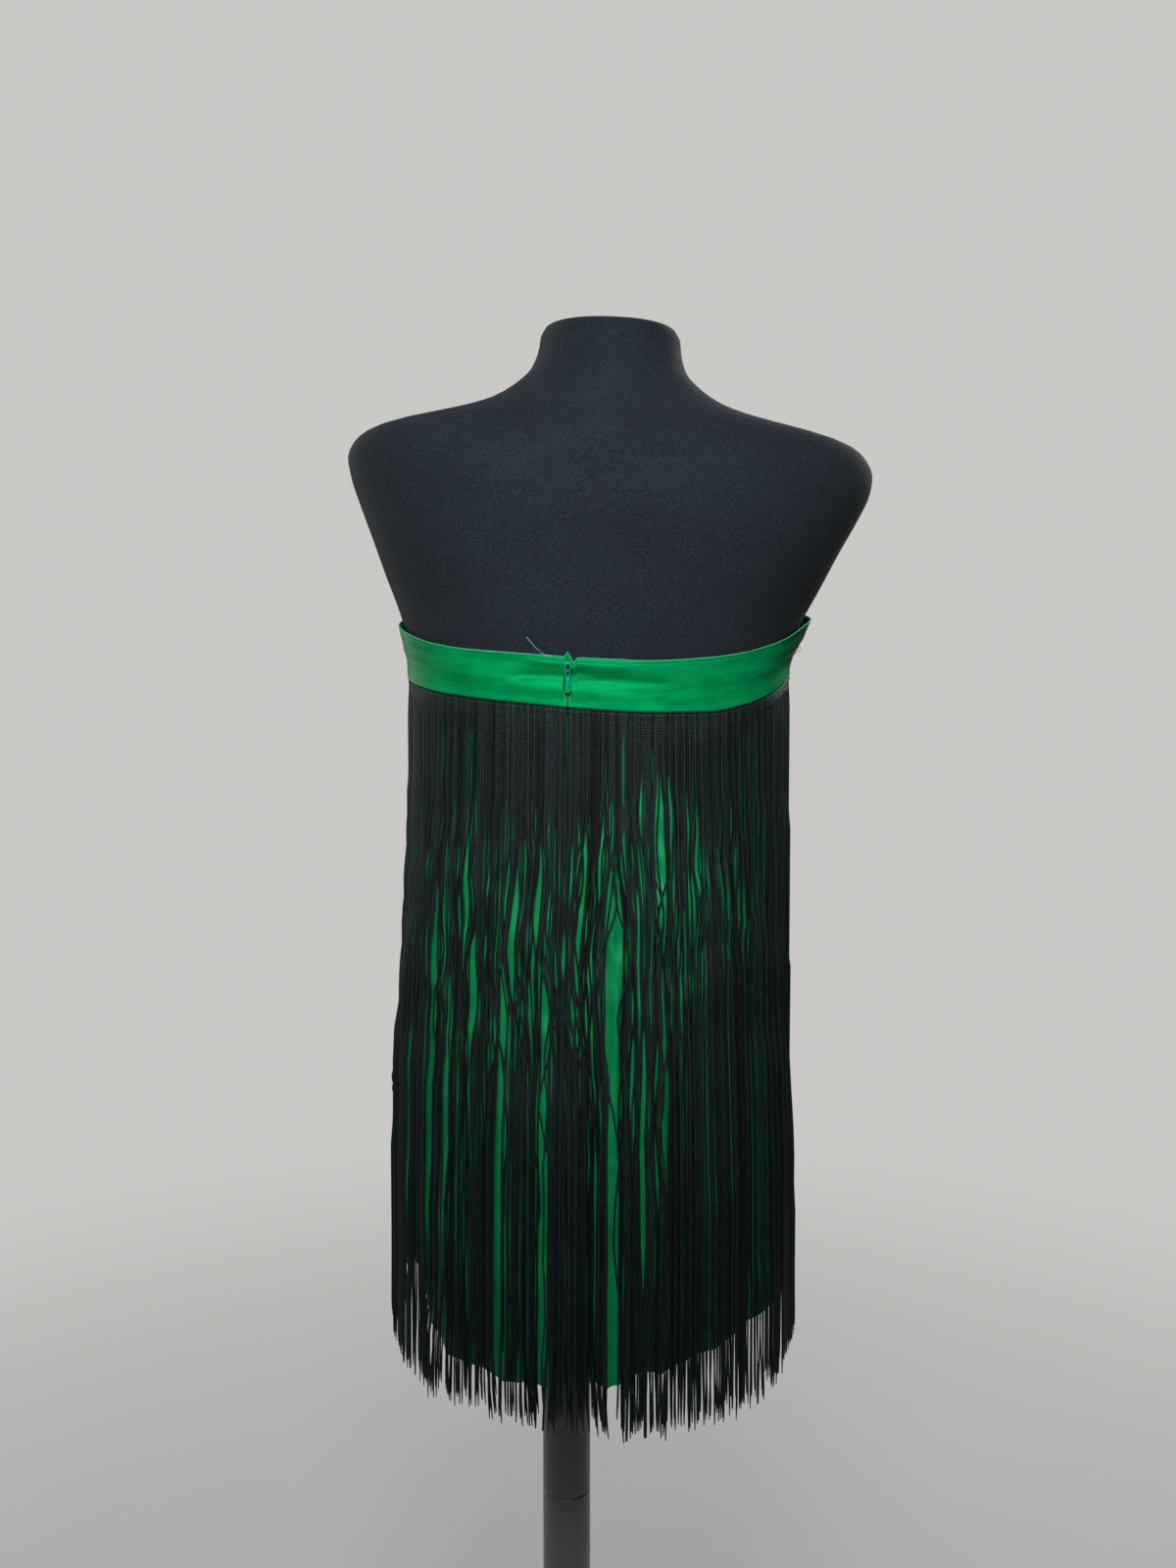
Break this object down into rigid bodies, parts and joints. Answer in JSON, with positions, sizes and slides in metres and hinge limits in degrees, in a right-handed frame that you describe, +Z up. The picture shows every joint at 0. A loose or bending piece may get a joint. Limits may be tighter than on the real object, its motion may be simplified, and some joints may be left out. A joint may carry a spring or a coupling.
{
  "type": "fringe dress on dress form",
  "caption": "Strapless mini dress in satin under a long hanging fringe, worn by a limbless dress form on a round-based pole stand.",
  "frame": {"origin": "centre of the base's underside, on the floor under the pole", "axes": "+Z up along the pole; the dress's back, with its zip, faces -Y, its front faces +Y; +X is the wearer's right"},
  "size_m": [0.4262, 0.38, 1.4542],
  "materials": {
    "jersey": "black knitted jersey, matt",
    "board": "black painted board",
    "stand_metal": "dark grey satin paint",
    "green_satin": "emerald green satin",
    "black_fringe": "black chainette fringe",
    "green_trim": "green enamelled zip"
  },
  "bodies": {
    "root": {"form_torso": "jersey", "form_board": "board", "form_collar": "stand_metal", "pole_upper": "stand_metal", "pole_lower": "stand_metal", "base_socket": "stand_metal", "base_plate": "stand_metal", "band_back_left": "green_satin", "band_back_right": "green_satin", "band_front": "green_satin", "skirt_back_left": "green_satin", "skirt_back_right": "green_satin", "skirt_front": "green_satin", "fringe_back_left": "black_fringe", "fringe_back_right": "black_fringe", "fringe_front": "black_fringe", "zip_tape": "green_satin", "zip_slider": "green_trim"},
    "pull": {"zip_pull": "green_trim"}
  },
  "joints": [
    {"name": "zip_pull_swing", "type": "hinge", "parent": "root", "child": "pull", "pos_m": [0.0033, -0.11047, 1.1895], "axis": [-1, 0, 0], "range_deg": [0, 150]}
  ]
}
